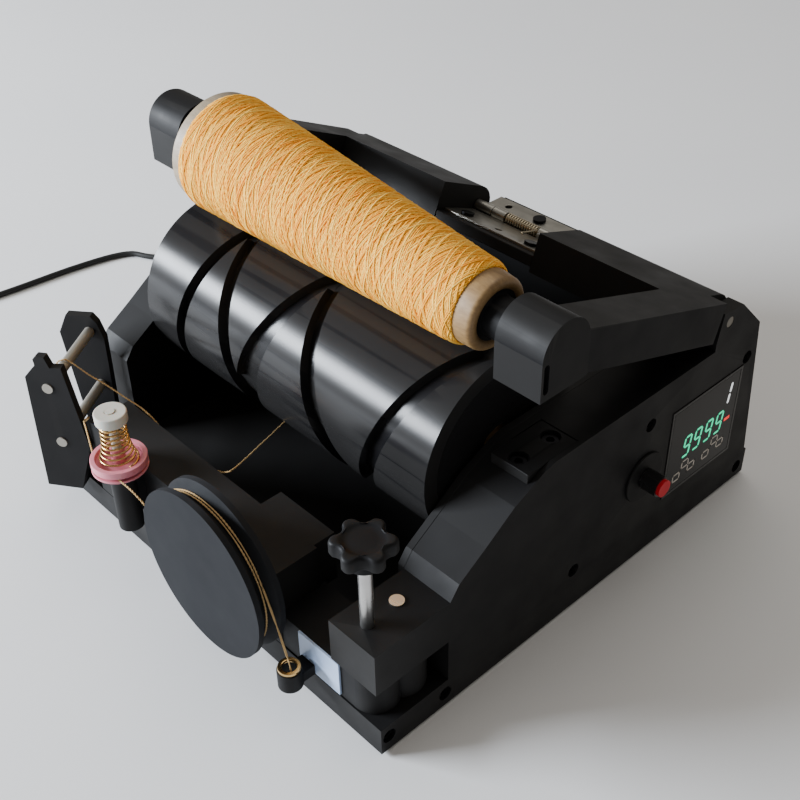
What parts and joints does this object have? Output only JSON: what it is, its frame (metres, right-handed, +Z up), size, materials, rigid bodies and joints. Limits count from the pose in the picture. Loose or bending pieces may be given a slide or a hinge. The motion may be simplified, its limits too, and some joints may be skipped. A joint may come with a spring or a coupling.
{
  "type": "cone winding machine",
  "caption": "Bench-top cone winder: motor-driven grooved drum under a hinged cone cradle, swing-out feed beam with wheel, eyelet and tension discs, counter display.",
  "frame": {"origin": "table level under the middle of the base, on the centre foot", "axes": "+X to the operator's right along the drum, +Y to the rear hinge, +Z up"},
  "size_m": [0.5393, 0.3282, 0.1795],
  "materials": {
    "black_plastic": "satin black printed plastic",
    "grey_plastic": "satin charcoal printed plastic",
    "drum_black": "smooth black",
    "rubber_black": "matt",
    "steel": "bright",
    "dark_steel": "blackened screws",
    "nickel": "nickelled",
    "bronze": "plain bush",
    "brass": "bright",
    "meter_black": "glossy",
    "meter_glass": "dark filter",
    "board_green": "circuit board",
    "red_plastic": "red cap",
    "white_nylon": "nylon",
    "pink_plastic": "pink disc",
    "paper": "pressed paper cone",
    "cream": "rounded paper nose",
    "yarn": "golden yarn",
    "blue_strip": "bright bluish strip"
  },
  "bodies": {
    "root": {"base_plate": "black_plastic", "rubber_feet": "rubber_black", "right_housing": "black_plastic", "right_inner_plate": "black_plastic", "left_side_plate": "black_plastic", "rear_panel": "black_plastic", "hinge_back_leaf": "nickel", "hinge_pin": "steel", "hinge_spring": "nickel", "body_screws": "dark_steel", "clamp_cap": "black_plastic", "clamp_screws": "dark_steel", "torque_tube": "steel", "drive_motor": "steel", "axle_bush": "bronze", "meter_body": "meter_black", "meter_window": "meter_glass", "speed_pot": "steel", "pot_washer": "meter_black", "control_board": "board_green", "pivot_pins": "steel", "beam_dowel": "steel", "cord_gland": "rubber_black", "power_cord": "rubber_black", "cord_coil": "rubber_black", "cord_plug": "rubber_black"},
    "drum": {"drum_shell": "drum_black", "drum_end_left": "drum_black", "drum_end_right": "drum_black", "drum_bush": "bronze", "drum_hub": "drum_black"},
    "arm": {"arm_right": "black_plastic", "arm_left": "black_plastic", "arm_bridge": "black_plastic", "hinge_front_leaf": "nickel", "hinge_screws": "dark_steel", "spindle_bushes": "bronze"},
    "cone": {"spindle": "steel", "cone_plugs": "black_plastic", "cone_tube": "paper", "nose_ring": "cream", "yarn_core": "yarn", "yarn_winding": "yarn"},
    "beam": {"feed_beam": "grey_plastic", "beam_strip": "blue_strip", "guide_bracket": "grey_plastic", "guide_rods": "steel", "tension_post": "white_nylon", "tension_discs": "pink_plastic", "tension_spring": "brass", "eyelet_arm": "grey_plastic", "eyelet_ring": "brass", "yarn_run": "yarn"},
    "wheel": {"counter_wheel": "grey_plastic", "wheel_axle": "steel"},
    "lock": {"star_knob": "black_plastic", "lock_stud": "steel"},
    "speed": {"speed_knob": "meter_black", "knob_cap": "red_plastic"},
    "nut": {"tension_nut": "white_nylon"}
  },
  "joints": [
    {"name": "drum_spin", "type": "hinge", "parent": "root", "child": "drum", "pos_m": [0, -0.0255, 0.0828], "axis": [1, 0, 0], "continuous": true},
    {"name": "arm_swing", "type": "hinge", "parent": "root", "child": "arm", "pos_m": [0, 0.0835, 0.104], "axis": [-1, 0, 0], "range_deg": [0, 60]},
    {"name": "cone_spin", "type": "hinge", "parent": "arm", "child": "cone", "pos_m": [0.0013, -0.0255, 0.14736], "axis": [0.9981, 0, -0.0622], "continuous": true},
    {"name": "beam_swing", "type": "hinge", "parent": "root", "child": "beam", "pos_m": [0.1045, -0.0962, 0.03], "axis": [0, 0, 1], "range_deg": [0, 60]},
    {"name": "wheel_spin", "type": "hinge", "parent": "beam", "child": "wheel", "pos_m": [0.0345, -0.119, 0.0485], "axis": [0, 1, 0], "continuous": true},
    {"name": "lock_turn", "type": "hinge", "parent": "root", "child": "lock", "pos_m": [0.1053, -0.1116, 0.09], "axis": [0, 0, 1], "range_deg": [-180, 180]},
    {"name": "speed_turn", "type": "hinge", "parent": "root", "child": "speed", "pos_m": [0.125, 0.0334, 0.0489], "axis": [1, 0, 0], "range_deg": [-150, 150]},
    {"name": "nut_slide", "type": "slide", "parent": "beam", "child": "nut", "axis": [0, 0, 1], "range_m": [-0.004, 0], "deforming": ["tension_spring"]}
  ],
  "couplings": [
    {"joint": "cone_spin", "follows": "drum_spin", "ratio": -1.8158}
  ]
}
